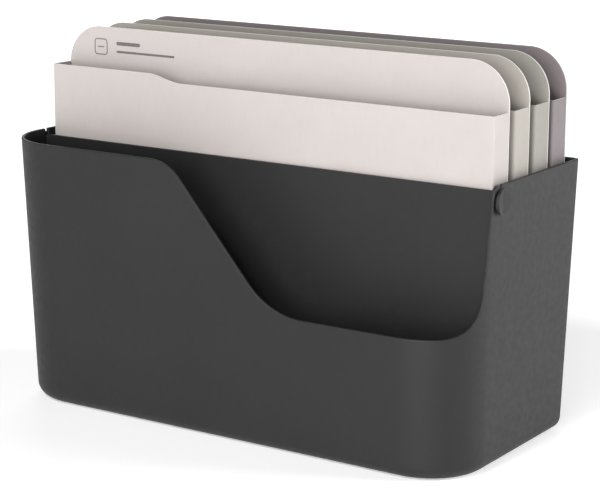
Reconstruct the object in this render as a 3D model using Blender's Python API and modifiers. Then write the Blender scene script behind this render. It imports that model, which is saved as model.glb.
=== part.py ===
"""Desktop letter tray: an open bin with a swept-down front, a lift-out divider held by two
button heads in slots of the side walls, and four pocket folders that stand behind the divider.

Metres, +Z up. The origin is the middle of the footprint, on the surface the tray stands on.
+X is the user's right and -Y is the front, where the rim dips.
"""

from math import cos, pi, radians, sin, sqrt

import bmesh
import bpy
from mathutils import Matrix, Vector

MM = 0.001

# Tray body: outer sizes at the rim, and how far each wall draws in at the base.
RIM_LENGTH = 332.8 * MM
RIM_DEPTH = 150.0 * MM
TRAY_HEIGHT = 169.5 * MM
SIDE_DRAFT = 4.0 * MM
FRONT_DRAFT = 7.8 * MM
REAR_DRAFT = 5.0 * MM
WALL = 2.0 * MM
FLOOR = 2.5 * MM
FRONT_CORNER_AT_RIM = 40.8 * MM
FRONT_CORNER_AT_BASE = 38.1 * MM
REAR_CORNER = 4.0 * MM
BASE_FILLET = 8.5 * MM

# The dip in the front wall, and how it climbs the right side wall again.
DIP_HEIGHT = 84.8 * MM
DIP_START_FROM_LEFT = 122.0 * MM
DIP_SLOPE = radians(50.1)
DIP_CREST_RADIUS = 27.5 * MM
DIP_VALLEY_RADIUS = 48.0 * MM
DIP_SIDE_RADIUS = 25.0 * MM
DIP_SIDE_LEAN = radians(5.0)
DIP_SIDE_SHOULDER = 4.5 * MM
DIP_SIDE_TO_SLOT = 6.5 * MM

# Divider: a plate whose end tabs hang in the slots, with a button head on each tab.
DIVIDER_FROM_REAR = 102.0 * MM
DIVIDER_THICKNESS = 2.0 * MM
DIVIDER_BELOW_RIM = 3.8 * MM
TAB_HEIGHT = 10.0 * MM
TAB_BELOW_RIM = 9.5 * MM
TAB_BEYOND_WALL = 0.8 * MM
SLOT_MOUTH_RADIUS = 1.0 * MM
HEAD_RADIUS = 7.5 * MM
HEAD_THICKNESS = 2.8 * MM
HEAD_GRIP_DEPTH = 1.3 * MM
HEAD_EDGE = 0.5 * MM

# Folders: a tall back panel and an expanding pocket in front of it.
FOLDER_NAMES = ("rose", "sand", "stone", "mauve")
FOLDER_SIDE_GAP = 0.4 * MM
FOLDER_HEIGHT = 232.9 * MM
FOLDER_TOP_RADIUS = 25.0 * MM
FOLDER_FOOT_GAP = 1.5 * MM
SHEET = 1.0 * MM
POCKET_DEPTH = 17.0 * MM
POCKET_HEIGHT_LEFT = 208.9 * MM
POCKET_HEIGHT_RIGHT = 204.3 * MM
POCKET_STEP_FROM_LEFT = 89.0 * MM
POCKET_STEP_WIDTH = 26.0 * MM
POCKET_FOLD_GAP = 0.5 * MM
POCKET_LIP_HEIGHT = 12.0 * MM
PANEL_FOOT_GAP = 1.0 * MM
FOLDER_SHIFTS = (0.0, 0.7 * MM, 1.2 * MM, 0.0)
FOLDER_BEHIND_DIVIDER = 1.2 * MM
FOLDER_BEFORE_REAR_WALL = 1.4 * MM

# Clearances.
GAP = 0.3 * MM
RUNNING_GAP = 0.6 * MM
CUT_MARGIN = 10.0 * MM

# Facets of the round corners.
CORNER_STEPS = 12
REAR_CORNER_STEPS = 4
FILLET_STEPS = 5
ARC_STEPS = 10
HEAD_SIDES = 40

# Levels and places that several pieces share.
RIM_HALF = RIM_LENGTH / 2
FRONT = -RIM_DEPTH / 2
REAR = RIM_DEPTH / 2
DIVIDER_Y = REAR - DIVIDER_FROM_REAR
SLOT_WIDTH = DIVIDER_THICKNESS + 2 * GAP
TAB_Z = TRAY_HEIGHT - TAB_BELOW_RIM
SLOT_BOTTOM = TAB_Z - TAB_HEIGHT / 2 - GAP
FOOT = FLOOR + GAP
INNER_FILLET = BASE_FILLET - WALL
FOLDER_FOOT_RADIUS = BASE_FILLET + FOLDER_FOOT_GAP
POCKET_FOLD_RADIUS = INNER_FILLET - POCKET_FOLD_GAP
FIRST_POCKET_FRONT = DIVIDER_Y + DIVIDER_THICKNESS / 2 + FOLDER_BEHIND_DIVIDER
LAST_PANEL_BACK = REAR - REAR_DRAFT - WALL - FOLDER_BEFORE_REAR_WALL
# The back panels start just above the rounded inner edge at the foot of the rear wall.
FILLET_RUN = INNER_FILLET - FOLDER_BEFORE_REAR_WALL
PANEL_FOOT = FLOOR + INNER_FILLET - sqrt(INNER_FILLET**2 - FILLET_RUN**2) + PANEL_FOOT_GAP


def clear_scene():
    for obj in list(bpy.data.objects):
        bpy.data.objects.remove(obj, do_unlink=True)
    for collection in list(bpy.data.collections):
        bpy.data.collections.remove(collection)


def make_collection(name):
    collection = bpy.data.collections.new(name)
    bpy.context.scene.collection.children.link(collection)
    return collection


def make_material(name, colour, roughness):
    material = bpy.data.materials.new(name)
    material.use_nodes = True
    shader = material.node_tree.nodes["Principled BSDF"]
    shader.inputs["Base Color"].default_value = (*colour, 1.0)
    shader.inputs["Roughness"].default_value = roughness
    shader.inputs["Metallic"].default_value = 0.0
    return material


def arc(centre_x, centre_y, radius, start, end, steps):
    """Points along an arc of a circle, both ends included."""
    angles = [start + (end - start) * i / steps for i in range(steps + 1)]
    return [(centre_x + radius * cos(a), centre_y + radius * sin(a)) for a in angles]


def object_from_bmesh(name, shape, collection, material=None):
    mesh = bpy.data.meshes.new(name)
    bmesh.ops.recalc_face_normals(shape, faces=shape.faces)
    shape.to_mesh(mesh)
    shape.free()
    obj = bpy.data.objects.new(name, mesh)
    collection.objects.link(obj)
    if material:
        mesh.materials.append(material)
    return obj


def prism(name, outline, thickness, placement, collection, material=None):
    """A flat outline given its thickness, half to each side of its own plane."""
    curve = bpy.data.curves.new(name + "_outline", "CURVE")
    curve.dimensions = "2D"
    curve.fill_mode = "BOTH"
    curve.extrude = thickness / 2
    spline = curve.splines.new("POLY")
    spline.points.add(len(outline) - 1)
    for point, (x, y) in zip(spline.points, outline):
        point.co = (x, y, 0.0, 1.0)
    spline.use_cyclic_u = True
    guide = bpy.data.objects.new(name + "_outline", curve)
    collection.objects.link(guide)
    guide.matrix_world = placement
    bpy.context.view_layer.update()
    evaluated = guide.evaluated_get(bpy.context.evaluated_depsgraph_get())
    mesh = bpy.data.meshes.new_from_object(evaluated)
    shape = bmesh.new()
    shape.from_mesh(mesh)
    bmesh.ops.remove_doubles(shape, verts=shape.verts, dist=1e-6)
    bpy.data.meshes.remove(mesh)
    solid = object_from_bmesh(name, shape, collection, material)
    solid.matrix_world = guide.matrix_world
    bpy.data.objects.remove(guide, do_unlink=True)
    return solid


def facing_front(y):
    """Places an outline drawn as (X, Z) at depth y."""
    return Matrix.Translation((0.0, y, 0.0)) @ Matrix.Rotation(pi / 2, 4, "X")


def facing_side(x):
    """Places an outline drawn as (Y, Z) at width x."""
    turn = Matrix(((0.0, 0.0, 1.0), (1.0, 0.0, 0.0), (0.0, 1.0, 0.0))).to_4x4()
    return Matrix.Translation((x, 0.0, 0.0)) @ turn


def as_cutter(obj):
    obj.hide_render = True
    obj.display_type = "WIRE"
    return obj


def combine(obj, other, operation):
    modifier = obj.modifiers.new(other.name, "BOOLEAN")
    modifier.operation = operation
    modifier.solver = "EXACT"
    modifier.object = other
    return obj


# ---- tray body ----


def rise(z):
    """0 at the base and 1 at the rim, for whatever changes evenly with height."""
    return z / TRAY_HEIGHT


def side_at(z):
    return RIM_HALF - SIDE_DRAFT * (1 - rise(z))


def front_at(z):
    return FRONT + FRONT_DRAFT * (1 - rise(z))


def rear_at(z):
    return REAR - REAR_DRAFT * (1 - rise(z))


def front_corner_at(z):
    return FRONT_CORNER_AT_BASE + (FRONT_CORNER_AT_RIM - FRONT_CORNER_AT_BASE) * rise(z)


def half_width(y, z, inset):
    """Half the width of the tray, drawn in by inset, at depth y and height z."""
    side = side_at(z) - inset
    corner = front_corner_at(z) - inset
    into_corner = front_at(z) + inset + corner - y
    if into_corner <= 0:
        return side
    return side - corner + sqrt(corner**2 - into_corner**2)


def tray_section(z, inset):
    """The outline of the tray at height z, drawn in by inset, counter-clockwise from above."""
    side = side_at(z) - inset
    front = front_at(z) + inset
    rear = rear_at(z) - inset
    corner = front_corner_at(z) - inset
    small = max(REAR_CORNER - inset, REAR_CORNER / 4)
    right = arc(side - corner, front + corner, corner, -pi / 2, 0.0, CORNER_STEPS)
    rear_right = arc(side - small, rear - small, small, 0.0, pi / 2, REAR_CORNER_STEPS)
    half = right + rear_right
    mirrored = [(-x, y) for x, y in reversed(half)]
    return [Vector((x, y, z)) for x, y in half + mirrored]


def loft(name, sections, collection, material=None):
    """Skins a stack of sections that have the same number of points, with a cap at each end."""
    shape = bmesh.new()
    rings = [[shape.verts.new(point) for point in section] for section in sections]
    for lower, upper in zip(rings, rings[1:]):
        for i in range(len(lower)):
            j = (i + 1) % len(lower)
            shape.faces.new((lower[i], lower[j], upper[j], upper[i]))
    shape.faces.new(tuple(reversed(rings[0])))
    shape.faces.new(tuple(rings[-1]))
    return object_from_bmesh(name, shape, collection, material)


def tray_stack(bottom, top, fillet, inset):
    """Sections of the tray from bottom to top, with a rounded bottom edge."""
    sections = []
    for step in range(FILLET_STEPS + 1):
        turn = pi / 2 * step / FILLET_STEPS
        drawn_in = inset + fillet * (1 - sin(turn))
        sections.append(tray_section(bottom + fillet * (1 - cos(turn)), drawn_in))
    sections.append(tray_section(top, inset))
    return sections


def dip_front_outline(top):
    """The part of the front wall that the dip takes away, as (X, Z)."""
    crest_x = -RIM_HALF + DIP_START_FROM_LEFT
    crest_z = TRAY_HEIGHT - DIP_CREST_RADIUS
    valley_z = DIP_HEIGHT + DIP_VALLEY_RADIUS
    # The slope touches both arcs, so it fixes how far apart their centres stand.
    reach = DIP_CREST_RADIUS + DIP_VALLEY_RADIUS
    valley_x = crest_x + (reach + (crest_z - valley_z) * cos(DIP_SLOPE)) / sin(DIP_SLOPE)
    crest = arc(crest_x, crest_z, DIP_CREST_RADIUS, pi / 2, pi / 2 - DIP_SLOPE, ARC_STEPS)
    valley = arc(valley_x, valley_z, DIP_VALLEY_RADIUS, 1.5 * pi - DIP_SLOPE, 1.5 * pi, ARC_STEPS)
    end = RIM_HALF + CUT_MARGIN
    return [(crest_x, top)] + crest + valley + [(end, DIP_HEIGHT), (end, top)]


def dip_side_outline(top):
    """The part that the dip may take seen from the side, as (Y, Z)."""
    shoulder_z = TRAY_HEIGHT - DIP_SIDE_SHOULDER
    shoulder_y = DIVIDER_Y - SLOT_WIDTH / 2 - DIP_SIDE_TO_SLOT + DIP_SIDE_SHOULDER
    # The leaning line touches the shoulder's arc and the valley's.
    low_z = DIP_HEIGHT + DIP_SIDE_RADIUS
    reach = DIP_SIDE_RADIUS + DIP_SIDE_SHOULDER
    apart = (reach + (shoulder_z - low_z) * sin(DIP_SIDE_LEAN)) / cos(DIP_SIDE_LEAN)
    low_y = shoulder_y - apart
    start = min(FRONT, low_y) - CUT_MARGIN
    valley = arc(low_y, low_z, DIP_SIDE_RADIUS, -pi / 2, -DIP_SIDE_LEAN, ARC_STEPS)
    shoulder = arc(shoulder_y, shoulder_z, DIP_SIDE_SHOULDER, pi - DIP_SIDE_LEAN, pi / 2, ARC_STEPS)
    return [(start, DIP_HEIGHT)] + valley + shoulder + [(shoulder_y, top), (start, top)]


def slot_outline(top):
    """A slot with a rounded mouth, as (Y, Z)."""
    half = SLOT_WIDTH / 2
    mouth = SLOT_MOUTH_RADIUS
    level = TRAY_HEIGHT - mouth
    right = arc(DIVIDER_Y + half + mouth, level, mouth, pi, pi / 2, FILLET_STEPS)
    left = arc(DIVIDER_Y - half - mouth, level, mouth, pi / 2, 0.0, FILLET_STEPS)
    floor = [(DIVIDER_Y - half, SLOT_BOTTOM), (DIVIDER_Y + half, SLOT_BOTTOM)]
    lid = [(right[-1][0], top), (left[0][0], top)]
    return floor + right + lid + left


def make_tray(parts, cutters, material):
    top = TRAY_HEIGHT + CUT_MARGIN
    tray = loft("tray_body", tray_stack(0.0, TRAY_HEIGHT, BASE_FILLET, 0.0), parts, material)
    hollow = loft("tray_hollow", tray_stack(FLOOR, top, BASE_FILLET - WALL, WALL), cutters)
    combine(tray, as_cutter(hollow), "DIFFERENCE")
    depth = RIM_DEPTH + 2 * CUT_MARGIN
    dip = prism("front_dip", dip_front_outline(top), depth, facing_front(0.0), cutters)
    width = RIM_LENGTH + 4 * CUT_MARGIN
    climb = prism("side_climb", dip_side_outline(top + MM), width, facing_side(0.0), cutters)
    combine(dip, as_cutter(climb), "INTERSECT")
    combine(tray, as_cutter(dip), "DIFFERENCE")
    slot = prism("tab_slots", slot_outline(top), width, facing_side(0.0), cutters)
    combine(tray, as_cutter(slot), "DIFFERENCE")
    return tray


# ---- divider ----


def head_inner_face():
    """How far out the button heads start, just clear of the walls at the rim."""
    return half_width(DIVIDER_Y + HEAD_RADIUS, TRAY_HEIGHT, 0.0) + GAP


def divider_outline():
    """The divider plate with a tab at each end, as (X, Z), clear of the drafted side walls."""
    top = TRAY_HEIGHT - DIVIDER_BELOW_RIM
    foot_radius = FOLDER_FOOT_RADIUS
    face = DIVIDER_Y - DIVIDER_THICKNESS / 2
    foot_half = half_width(face, FOOT + foot_radius, WALL) - RUNNING_GAP
    top_half = half_width(face, top, WALL) - RUNNING_GAP
    tab_end = head_inner_face() + TAB_BEYOND_WALL
    tab_low = TAB_Z - TAB_HEIGHT / 2
    tab_high = TAB_Z + TAB_HEIGHT / 2
    slope = (top_half - foot_half) / (top - FOOT - foot_radius)
    foot = arc(foot_half - foot_radius, FOOT + foot_radius, foot_radius, -pi / 2, 0.0, FILLET_STEPS)
    half = foot + [
        (top_half - slope * (top - tab_low), tab_low),
        (tab_end, tab_low),
        (tab_end, tab_high),
        (top_half - slope * (top - tab_high), tab_high),
        (top_half, top),
    ]
    return half + [(-x, z) for x, z in reversed(half)]


def make_divider(parts, material):
    outline = divider_outline()
    return prism("divider_plate", outline, DIVIDER_THICKNESS, facing_front(DIVIDER_Y), parts, material)


def make_head(name, side, parts, cutters, material):
    """A button head outside the wall: a disc with a V-shaped grip, and a socket for the tab."""
    inner = head_inner_face()
    middle = inner + HEAD_THICKNESS / 2
    shape = bmesh.new()
    bmesh.ops.create_cone(
        shape, cap_ends=True, segments=HEAD_SIDES, depth=HEAD_THICKNESS,
        radius1=HEAD_RADIUS, radius2=HEAD_RADIUS,
    )
    turn = Matrix.Rotation(pi / 2, 4, "Y")
    bmesh.ops.transform(shape, matrix=turn, verts=shape.verts)
    head = object_from_bmesh(name, shape, parts, material)
    head.location = (side * middle, DIVIDER_Y, TAB_Z)
    bevel = head.modifiers.new("rounded_edge", "BEVEL")
    bevel.width = HEAD_EDGE
    bevel.segments = 2
    bevel.limit_method = "ANGLE"
    grip_half = HEAD_RADIUS - HEAD_EDGE
    outer = inner + HEAD_THICKNESS
    # The groove's flanks run on past the face, so that the cut doesn't end level with it.
    over = HEAD_GRIP_DEPTH
    flank = grip_half / HEAD_GRIP_DEPTH
    grip_outline = [
        (side * (outer - HEAD_GRIP_DEPTH), DIVIDER_Y),
        (side * (outer + over), DIVIDER_Y + flank * (HEAD_GRIP_DEPTH + over)),
        (side * (outer + over), DIVIDER_Y - flank * (HEAD_GRIP_DEPTH + over)),
    ]
    level = Matrix.Translation((0.0, 0.0, TAB_Z))
    grip = prism(name + "_grip", grip_outline, 3 * HEAD_RADIUS, level, cutters)
    combine(head, as_cutter(grip), "DIFFERENCE")
    socket_depth = TAB_BEYOND_WALL + GAP
    shape = bmesh.new()
    bmesh.ops.create_cube(shape, size=1.0)
    size = Vector((2 * socket_depth, SLOT_WIDTH, TAB_HEIGHT + 2 * GAP))
    bmesh.ops.scale(shape, vec=size, verts=shape.verts)
    socket = object_from_bmesh(name + "_socket", shape, cutters)
    socket.location = (side * inner, DIVIDER_Y, TAB_Z)
    combine(head, as_cutter(socket), "DIFFERENCE")
    return head


# ---- folders ----


def folder_half():
    """Half the width of every folder: the first one still clears the round front corners."""
    return half_width(FIRST_POCKET_FRONT, 0.0, WALL) - FOLDER_SIDE_GAP


def pocket_top():
    """The step along the pocket's top edge, from right to left, as (X, Z)."""
    middle = -folder_half() + POCKET_STEP_FROM_LEFT
    points = []
    for step in range(ARC_STEPS + 1):
        turn = pi * step / ARC_STEPS
        blend = (1 - cos(turn)) / 2
        height = POCKET_HEIGHT_RIGHT + (POCKET_HEIGHT_LEFT - POCKET_HEIGHT_RIGHT) * blend
        x = middle + POCKET_STEP_WIDTH * (0.5 - step / ARC_STEPS)
        points.append((x, FOOT + height))
    return points


def pocket_front_outline(inset, top=None):
    """The pocket seen from the front, as (X, Z): rounded feet, and a stepped or level top."""
    half = folder_half() - inset
    radius = FOLDER_FOOT_RADIUS - inset
    low = FOOT + inset
    foot = arc(half - radius, low + radius, radius, -pi / 2, 0.0, FILLET_STEPS)
    left_foot = [(-x, z) for x, z in reversed(foot)]
    if top is not None:
        return foot + [(half, top), (-half, top)] + left_foot
    right_top = (half, FOOT + POCKET_HEIGHT_RIGHT)
    left_top = (-half, FOOT + POCKET_HEIGHT_LEFT)
    return foot + [right_top] + pocket_top() + [left_top] + left_foot


def pocket_side_outline(front, rear, inset, top):
    """The pocket seen from the side, as (Y, Z): two panels with a rounded fold under them."""
    radius = POCKET_FOLD_RADIUS - inset
    low = FOOT + inset
    near, far = front + inset, rear - inset
    fold = arc(near + radius, low + radius, radius, pi, 1.5 * pi, FILLET_STEPS)
    fold += arc(far - radius, low + radius, radius, 1.5 * pi, 2 * pi, FILLET_STEPS)
    return [(near, top)] + fold + [(far, top)]


def pocket_hollow_outline(front, rear, top):
    """The space in the pocket seen from the side, open at the back above the folded-up lip."""
    outline = pocket_side_outline(front, rear, SHEET, top)
    lip = FOOT + POCKET_LIP_HEIGHT
    return outline[:-1] + [(rear - SHEET, lip), (rear + CUT_MARGIN, lip), (rear + CUT_MARGIN, top)]


def make_pocket(name, front, rear, parts, cutters, material):
    top = FOOT + POCKET_HEIGHT_LEFT + CUT_MARGIN
    middle = (front + rear) / 2
    width = 2 * folder_half() + 2 * CUT_MARGIN
    pocket = prism(
        name, pocket_front_outline(0.0), rear - front + 2 * MM, facing_front(middle), parts, material,
    )
    folded = prism(
        name + "_folds", pocket_side_outline(front, rear, 0.0, top), width, facing_side(0.0), cutters,
    )
    combine(pocket, as_cutter(folded), "INTERSECT")
    space = prism(
        name + "_space", pocket_front_outline(SHEET, top + 2 * CUT_MARGIN), 4 * POCKET_DEPTH,
        facing_front(middle), cutters,
    )
    reach = prism(
        name + "_reach", pocket_hollow_outline(front, rear, top + CUT_MARGIN), width,
        facing_side(0.0), cutters,
    )
    combine(space, as_cutter(reach), "INTERSECT")
    combine(pocket, as_cutter(space), "DIFFERENCE")
    return pocket


def panel_outline():
    """The back panel, as (X, Z), with large round top corners."""
    low = PANEL_FOOT
    high = FOOT + FOLDER_HEIGHT
    foot_radius, top_radius = FOLDER_FOOT_RADIUS, FOLDER_TOP_RADIUS
    half = arc(folder_half() - foot_radius, low + foot_radius, foot_radius, -pi / 2, 0.0, FILLET_STEPS)
    half += arc(folder_half() - top_radius, high - top_radius, top_radius, 0.0, pi / 2, ARC_STEPS)
    return half + [(-x, z) for x, z in reversed(half)]


def folder_fronts():
    """Where each pocket's front stands: the folders spread evenly from the divider to the rear."""
    last = LAST_PANEL_BACK - SHEET - GAP - POCKET_DEPTH
    pitch = (last - FIRST_POCKET_FRONT) / (len(FOLDER_NAMES) - 1)
    return [FIRST_POCKET_FRONT + pitch * i + shift for i, shift in enumerate(FOLDER_SHIFTS)]


def make_folder(name, front, parts, cutters, material):
    lift = bpy.data.objects.new(name + "_folder", None)
    lift.location = (0.0, front, FOOT)
    parts.objects.link(lift)
    rear = front + POCKET_DEPTH
    pocket = make_pocket(name + "_pocket", front, rear, parts, cutters, material)
    place = facing_front(rear + GAP + SHEET / 2)
    panel = prism(name + "_back_panel", panel_outline(), SHEET, place, parts, material)
    hold([pocket, panel], lift)


def hold(pieces, parent):
    """Parents pieces to an empty without moving them."""
    bpy.context.view_layer.update()
    for piece in pieces:
        piece.parent = parent
        piece.matrix_parent_inverse = parent.matrix_world.inverted()


def main():
    clear_scene()
    parts = make_collection("letter_tray")
    cutters = make_collection("cutters")
    charcoal = make_material("charcoal_plastic", (0.060, 0.060, 0.061), 0.62)
    colours = {
        "rose": (0.68, 0.62, 0.59),
        "sand": (0.52, 0.49, 0.45),
        "stone": (0.40, 0.39, 0.34),
        "mauve": (0.26, 0.22, 0.23),
    }
    make_tray(parts, cutters, charcoal)
    divider_lift = bpy.data.objects.new("divider", None)
    divider_lift.location = (0.0, DIVIDER_Y, TAB_Z)
    parts.objects.link(divider_lift)
    plate = make_divider(parts, charcoal)
    heads = [
        make_head("left_button", -1, parts, cutters, charcoal),
        make_head("right_button", 1, parts, cutters, charcoal),
    ]
    hold([plate] + heads, divider_lift)
    for name, front in zip(FOLDER_NAMES, folder_fronts()):
        sheet = make_material(name + "_sheet", colours[name], 0.55)
        make_folder(name, front, parts, cutters, sheet)


main()
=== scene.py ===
"""Looks of the desktop letter tray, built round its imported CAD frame: a moulded charcoal tray, its
lift-out divider with two button heads, and four pocket folders of coloured sheet.

Metres, +Z up, +X to the right and -Y to the front, where the rim dips.
"""

from bisect import bisect_right
from math import acos, ceil, cos, pi, radians, sin, sqrt

import bmesh
import bpy
import numpy as np
from mathutils import Matrix, Vector
from mathutils.geometry import delaunay_2d_cdt


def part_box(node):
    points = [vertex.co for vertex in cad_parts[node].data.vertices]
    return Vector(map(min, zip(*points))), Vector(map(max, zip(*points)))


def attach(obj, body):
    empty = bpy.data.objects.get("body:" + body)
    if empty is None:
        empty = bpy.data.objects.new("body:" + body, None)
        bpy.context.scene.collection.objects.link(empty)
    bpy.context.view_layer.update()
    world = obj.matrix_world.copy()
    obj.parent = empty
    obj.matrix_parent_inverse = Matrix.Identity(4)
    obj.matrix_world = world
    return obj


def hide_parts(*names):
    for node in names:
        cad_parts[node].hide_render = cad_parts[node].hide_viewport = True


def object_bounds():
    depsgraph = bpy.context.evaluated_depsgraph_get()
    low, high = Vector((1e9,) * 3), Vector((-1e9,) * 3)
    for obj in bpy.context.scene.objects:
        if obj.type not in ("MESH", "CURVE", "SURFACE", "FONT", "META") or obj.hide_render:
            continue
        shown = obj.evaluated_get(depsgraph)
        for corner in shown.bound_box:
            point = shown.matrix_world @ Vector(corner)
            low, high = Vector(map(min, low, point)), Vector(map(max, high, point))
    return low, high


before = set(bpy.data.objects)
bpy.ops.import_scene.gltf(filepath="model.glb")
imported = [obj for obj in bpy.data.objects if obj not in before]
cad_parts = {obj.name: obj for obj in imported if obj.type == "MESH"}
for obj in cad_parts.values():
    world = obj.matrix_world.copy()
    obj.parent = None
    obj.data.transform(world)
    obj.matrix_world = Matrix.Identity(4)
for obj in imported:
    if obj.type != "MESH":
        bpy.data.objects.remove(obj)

MM = 0.001
CAD_LOW, CAD_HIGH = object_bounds()

# ---- places and sizes that come from the frame ----

TRAY_LOW, TRAY_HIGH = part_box("tray_body")
RIM_HALF = TRAY_HIGH.x
FRONT = TRAY_LOW.y
REAR = TRAY_HIGH.y
TRAY_HEIGHT = TRAY_HIGH.z
DIVIDER_LOW, DIVIDER_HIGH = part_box("divider_plate")
DIVIDER_Y = (DIVIDER_LOW.y + DIVIDER_HIGH.y) / 2
DIVIDER_THICKNESS = DIVIDER_HIGH.y - DIVIDER_LOW.y
TAB_END = DIVIDER_HIGH.x
DIVIDER_TOP = DIVIDER_HIGH.z
FOOT = DIVIDER_LOW.z
HEAD_LOW, HEAD_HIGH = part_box("right_button")
HEAD_Z = (HEAD_LOW.z + HEAD_HIGH.z) / 2
HEAD_RADIUS = (HEAD_HIGH.y - HEAD_LOW.y) / 2

# ---- shape values that the boxes do not give ----

SIDE_DRAFT = 4.0 * MM
FRONT_DRAFT = 7.8 * MM
REAR_DRAFT = 5.0 * MM
WALL = 2.0 * MM
FLOOR = 2.5 * MM
FRONT_CORNER_AT_RIM = 40.8 * MM
FRONT_CORNER_AT_BASE = 38.1 * MM
REAR_CORNER = 4.0 * MM
REAR_CORNER_LEAST = 1.0 * MM
BASE_FILLET = 8.5 * MM
RIM_EDGE = 0.55 * MM

DIP_HEIGHT = 84.8 * MM
DIP_START_FROM_LEFT = 122.0 * MM
DIP_SLOPE = radians(50.1)
DIP_CREST_RADIUS = 27.5 * MM
DIP_VALLEY_RADIUS = 48.0 * MM
DIP_SIDE_RADIUS = 25.0 * MM
DIP_SIDE_LEAN = radians(5.0)
DIP_SIDE_SHOULDER = 4.5 * MM
DIP_SIDE_TO_SLOT = 6.5 * MM

GAP = 0.3 * MM
RUNNING_GAP = 0.6 * MM
TAB_HEIGHT = 10.0 * MM
SLOT_WIDTH = DIVIDER_THICKNESS + 2 * GAP
SLOT_MOUTH_RADIUS = 1.0 * MM
SLOT_BOTTOM = HEAD_Z - TAB_HEIGHT / 2 - GAP
DIVIDER_EDGE = 0.35 * MM
DIVIDER_TOP_RADIUS = 1.0 * MM
HEAD_GRIP_DEPTH = 1.3 * MM
HEAD_EDGE = 0.5 * MM
HEAD_VALLEY = 0.25 * MM

SHEET = 1.0 * MM
SHEET_EDGE = 0.28 * MM
FOLDER_TOP_RADIUS = 25.0 * MM
FOLDER_FOOT_RADIUS = 10.0 * MM
POCKET_FOLD_RADIUS = 6.0 * MM
POCKET_CREASE_RADIUS = 1.3 * MM
POCKET_HEIGHT_RIGHT = 204.3 * MM
POCKET_STEP_FROM_LEFT = 89.0 * MM
POCKET_STEP_WIDTH = 26.0 * MM
POCKET_LIP_HEIGHT = 12.0 * MM
POCKET_LIP_CORNER = 0.4 * MM
POCKET_LIP_BLEND = 1.5 * MM
POCKET_TOP_CORNER = 1.0 * MM
SHARP = 0.02 * MM

# The printed marks at the top left of each back panel.
MARK_RISE = 0.04 * MM
MARK_FROM_LEFT = 20.5 * MM
MARK_BELOW_TOP = 7.7 * MM
MARK_ICON_SIZE = 10.5 * MM
MARK_ICON_LINE = 0.7 * MM
MARK_ICON_RADIUS = 2.2 * MM
MARK_LINE_PITCH = 2.1 * MM
MARK_LINE_INSET = 2.6 * MM
MARK_TEXT_GAP = 7.3 * MM
# The bars beside the icon, each as its bottom's distance below the icon's top, its height and its width.
MARK_BARS = ((3.6 * MM, 2.3 * MM, 19.0 * MM), (8.4 * MM, 1.4 * MM, 46.0 * MM))
BAR_END_SHARE = 0.49

# Facets. HOLD is the width of a band beside each rounded edge, so that the flat next to it shades flat.
HOLD = 0.35 * MM
CAP_DRAWN_IN = 2 * HOLD
EDGE_STEPS = 4
CORNER_STEPS = 26
SMALL_CORNER_STEPS = 6
FILLET_STEPS = 12
ARC_STEPS = 28
POCKET_TOP_STEPS = 5
FLAT_STEP = 7.0 * MM
GRID_CLEARANCE = 1.215 * MM
# Tolerances for triangulating a flat wall, in millimetres.
LEVEL_TOLERANCE = 1e-6
JOIN_TOLERANCE = 1e-5
# Heights above a pocket's lip, as shares of POCKET_LIP_BLEND, where the end of its side wall has points.
LIP_STOPS = (0.25, 0.5, 0.75, 1.0, 1.6)
HEAD_SIDES = 96
HEAD_RINGS = 22
# Above 1, this crowds the rings of a button head's face towards its rim.
HEAD_RING_CROWDING = 1.7
SMOOTH_ANGLE = radians(38.0)
WELD = 2e-6
# A little over 1, so that rounding errors don't add a step.
STEP_SLACK = 1.001

# Colours, in linear light.
CHARCOAL = (0.0132, 0.0132, 0.0135)
SHEET_COLOURS = {
    "rose": (0.410, 0.375, 0.360),
    "sand": (0.315, 0.292, 0.264),
    "stone": (0.240, 0.230, 0.205),
    "mauve": (0.157, 0.133, 0.138),
}
INK = (0.105, 0.095, 0.095)
WHITE = (1.0, 1.0, 1.0)

# The camera of the product shot.
CAMERA_PLACE = (0.66769, -0.99103, 0.38268)
CAMERA_YAW = radians(32.72)
CAMERA_PITCH = radians(12.94)
CAMERA_ROLL = radians(0.442)
CAMERA_SENSOR = 36.0
CAMERA_LENS = 118.45
CAMERA_SHIFT_X = -0.0382
CAMERA_SHIFT_Y = -0.0024
CAMERA_NEAR = 0.05
CAMERA_FAR = 60.0

# The studio. Each lamp's azimuth from the front towards the right and its elevation, both in degrees,
# then its size in metres and its power in watts.
LAMPS = {
    "key_light": (0.0, 45.0, 0.45, 45.0),
    "side_light": (120.0, 18.0, 1.4, 84.0),
    "fill_light": (18.0, 8.0, 1.6, 96.0),
    "rim_light": (-145.0, 26.0, 1.4, 17.0),
}
LAMP_DISTANCE = 3.0
ROOM_LIGHT = 0.10
ROOM_SEEN = 1.00
STAGE_REACH = 9.0
STAGE_CELLS = 8
# The floor glows a little more away from the object, as a lit sweep does.
GLOW_NEAR = 0.32
GLOW_FAR = 0.87
GLOW_START = 0.3
GLOW_END = 2.6


def arc(centre_x, centre_y, radius, start, end, steps):
    """Points along an arc of a circle, both ends included."""
    angles = [start + (end - start) * i / steps for i in range(steps + 1)]
    return [(centre_x + radius * cos(a), centre_y + radius * sin(a)) for a in angles]


def spread(first, last, step):
    """Evenly spaced values from first to last, both included, no further apart than step."""
    count = max(1, ceil(abs(last - first) / step))
    return [first + (last - first) * i / count for i in range(count + 1)]


def smoothstep(share):
    """Eases from 0 at or below 0 to 1 at or above 1."""
    share = min(1.0, max(0.0, share))
    return share * share * (3 - 2 * share)


def without_repeats(points):
    """The points, less any that is in the same place as the one before it."""
    kept = [points[0]]
    for point in points[1:]:
        if abs(point[0] - kept[-1][0]) + abs(point[1] - kept[-1][1]) > WELD:
            kept.append(point)
    return kept


def mesh_from(name, shape):
    """Turns a bmesh into a mesh, and frees the bmesh."""
    mesh = bpy.data.meshes.new(name)
    shape.to_mesh(mesh)
    shape.free()
    return mesh


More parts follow.
